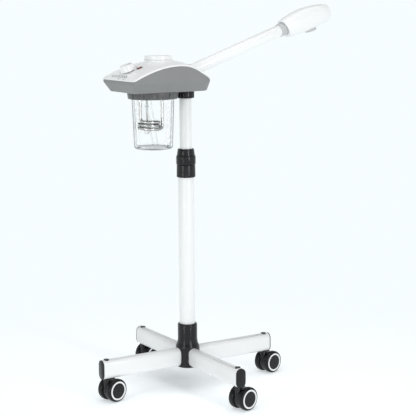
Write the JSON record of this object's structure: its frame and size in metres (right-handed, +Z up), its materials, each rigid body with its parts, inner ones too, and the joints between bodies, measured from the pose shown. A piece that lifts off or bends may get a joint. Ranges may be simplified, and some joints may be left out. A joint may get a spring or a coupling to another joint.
{
  "type": "facial steamer",
  "caption": "Facial steamer on a height-adjustable stand with casters: a sloping control head over a clear water jar, and a raised steam arm with a swivelling nozzle.",
  "frame": {"origin": "on the floor, on the axis of the column", "axes": "+Z up; the control panel faces -Y and the steam arm points to +Y; the base arms lie along X and Y"},
  "size_m": [0.4356, 0.5739, 0.8029],
  "materials": {
    "white_steel": "gloss powder coat",
    "white_plastic": "gloss",
    "grey_plastic": "satin",
    "dark_grey_plastic": "satin",
    "black_plastic": "satin",
    "wheel_rubber": "satin",
    "clear_plastic": "clear",
    "steel": "satin",
    "gasket_rubber": "matte",
    "natural_plastic": "matte",
    "light_grey_plastic": "satin",
    "switch_red": "gloss",
    "board_green": "satin"
  },
  "bodies": {
    "base": {"base_hub": "black_plastic", "base_arm_front": "white_steel", "base_arm_back": "white_steel", "base_arm_left": "white_steel", "base_arm_right": "white_steel", "arm_end_caps": "black_plastic", "hub_screws": "steel", "caster_stems": "black_plastic", "lower_tube": "white_steel", "lock_base": "black_plastic", "lock_collet": "natural_plastic"},
    "lock_nut": {"lock_nut": "black_plastic"},
    "mast": {"upper_tube": "white_steel", "tube_bush": "natural_plastic"},
    "head": {"lower_housing": "grey_plastic", "top_cover": "white_plastic", "arm_socket": "white_plastic", "housing_screws": "steel", "power_inlet": "black_plastic", "boiler_lid": "natural_plastic", "heating_element": "steel", "level_rod": "steel", "fill_tube": "clear_plastic", "steam_duct": "natural_plastic", "thermostat": "steel", "timer_unit": "natural_plastic", "switch_body": "black_plastic", "circuit_board": "board_green", "steam_arm": "white_steel", "nozzle_collar": "light_grey_plastic"},
    "head_nut": {"head_nut": "black_plastic"},
    "jar": {"water_jar": "clear_plastic", "jar_gasket": "gasket_rubber"},
    "jar_collar": {"jar_collar": "dark_grey_plastic"},
    "knob": {"timer_knob": "white_plastic"},
    "rocker": {"switch_rocker": "switch_red"},
    "cap": {"filler_cap": "white_plastic"},
    "float": {"level_float": "white_plastic"},
    "nozzle": {"nozzle_shell": "white_plastic", "nozzle_outlet": "light_grey_plastic"},
    "caster_1": {"caster_1_fork": "black_plastic"},
    "caster_1_wheel_a": {"caster_1_wheel_a": "wheel_rubber", "caster_1_ring_a": "white_plastic"},
    "caster_1_wheel_b": {"caster_1_wheel_b": "wheel_rubber", "caster_1_ring_b": "white_plastic"},
    "caster_2": {"caster_2_fork": "black_plastic"},
    "caster_2_wheel_a": {"caster_2_wheel_a": "wheel_rubber", "caster_2_ring_a": "white_plastic"},
    "caster_2_wheel_b": {"caster_2_wheel_b": "wheel_rubber", "caster_2_ring_b": "white_plastic"},
    "caster_3": {"caster_3_fork": "black_plastic"},
    "caster_3_wheel_a": {"caster_3_wheel_a": "wheel_rubber", "caster_3_ring_a": "white_plastic"},
    "caster_3_wheel_b": {"caster_3_wheel_b": "wheel_rubber", "caster_3_ring_b": "white_plastic"},
    "caster_4": {"caster_4_fork": "black_plastic"},
    "caster_4_wheel_a": {"caster_4_wheel_a": "wheel_rubber", "caster_4_ring_a": "white_plastic"},
    "caster_4_wheel_b": {"caster_4_wheel_b": "wheel_rubber", "caster_4_ring_b": "white_plastic"}
  },
  "joints": [
    {"name": "mast_slide", "type": "slide", "parent": "base", "child": "mast", "axis": [0, 0, 1], "range_m": [0, 0.24]},
    {"name": "lock_nut_turn", "type": "hinge", "parent": "base", "child": "lock_nut", "pos_m": [0, 0, 0.49], "axis": [0, 0, 1], "range_deg": [-90, 0]},
    {"name": "head_swivel", "type": "hinge", "parent": "mast", "child": "head", "pos_m": [0, 0, 0.64], "axis": [0, 0, 1], "range_deg": [-180, 180]},
    {"name": "head_nut_turn", "type": "hinge", "parent": "head", "child": "head_nut", "pos_m": [0, 0, 0.62], "axis": [0, 0, 1], "range_deg": [-180, 0]},
    {"name": "jar_drop", "type": "slide", "parent": "head", "child": "jar", "axis": [0, 0, -1], "range_m": [0, 0.125]},
    {"name": "jar_collar_turn", "type": "hinge", "parent": "jar", "child": "jar_collar", "pos_m": [0, -0.0765, 0.62], "axis": [0, 0, 1], "range_deg": [-270, 0]},
    {"name": "timer_turn", "type": "hinge", "parent": "head", "child": "knob", "pos_m": [0.0105, -0.138, 0.6739], "axis": [0, -0.342, 0.9397], "range_deg": [-300, 0]},
    {"name": "power_rocker", "type": "hinge", "parent": "head", "child": "rocker", "pos_m": [0.025, -0.12, 0.6802], "axis": [1, 0, 0], "range_deg": [-16, 0]},
    {"name": "filler_cap_lift", "type": "slide", "parent": "head", "child": "cap", "axis": [0, 0, 1], "range_m": [0, 0.06]},
    {"name": "level_float_slide", "type": "slide", "parent": "head", "child": "float", "axis": [0, 0, 1], "range_m": [0, 0.036]},
    {"name": "nozzle_swivel", "type": "hinge", "parent": "head", "child": "nozzle", "pos_m": [0, 0.2348, 0.7473], "axis": [0, 0.9432, 0.3322], "range_deg": [-90, 90]},
    {"name": "caster_1_swivel", "type": "hinge", "parent": "base", "child": "caster_1", "pos_m": [0.194, 0, 0.04], "axis": [0, 0, 1], "continuous": true},
    {"name": "caster_1_roll_a", "type": "hinge", "parent": "caster_1", "child": "caster_1_wheel_a", "pos_m": [0.19063, 0.01462, 0.024], "axis": [0.9744, 0.225, 0], "continuous": true},
    {"name": "caster_1_roll_b", "type": "hinge", "parent": "caster_1", "child": "caster_1_wheel_b", "pos_m": [0.19063, 0.01462, 0.024], "axis": [0.9744, 0.225, 0], "continuous": true},
    {"name": "caster_2_swivel", "type": "hinge", "parent": "base", "child": "caster_2", "pos_m": [0, 0.194, 0.04], "axis": [0, 0, 1], "continuous": true},
    {"name": "caster_2_roll_a", "type": "hinge", "parent": "caster_2", "child": "caster_2_wheel_a", "pos_m": [-0.00337, 0.20862, 0.024], "axis": [0.9744, 0.225, 0], "continuous": true},
    {"name": "caster_2_roll_b", "type": "hinge", "parent": "caster_2", "child": "caster_2_wheel_b", "pos_m": [-0.00337, 0.20862, 0.024], "axis": [0.9744, 0.225, 0], "continuous": true},
    {"name": "caster_3_swivel", "type": "hinge", "parent": "base", "child": "caster_3", "pos_m": [-0.194, 0, 0.04], "axis": [0, 0, 1], "continuous": true},
    {"name": "caster_3_roll_a", "type": "hinge", "parent": "caster_3", "child": "caster_3_wheel_a", "pos_m": [-0.19737, 0.01462, 0.024], "axis": [0.9744, 0.225, 0], "continuous": true},
    {"name": "caster_3_roll_b", "type": "hinge", "parent": "caster_3", "child": "caster_3_wheel_b", "pos_m": [-0.19737, 0.01462, 0.024], "axis": [0.9744, 0.225, 0], "continuous": true},
    {"name": "caster_4_swivel", "type": "hinge", "parent": "base", "child": "caster_4", "pos_m": [0, -0.194, 0.04], "axis": [0, 0, 1], "continuous": true},
    {"name": "caster_4_roll_a", "type": "hinge", "parent": "caster_4", "child": "caster_4_wheel_a", "pos_m": [-0.00337, -0.17938, 0.024], "axis": [0.9744, 0.225, 0], "continuous": true},
    {"name": "caster_4_roll_b", "type": "hinge", "parent": "caster_4", "child": "caster_4_wheel_b", "pos_m": [-0.00337, -0.17938, 0.024], "axis": [0.9744, 0.225, 0], "continuous": true}
  ]
}
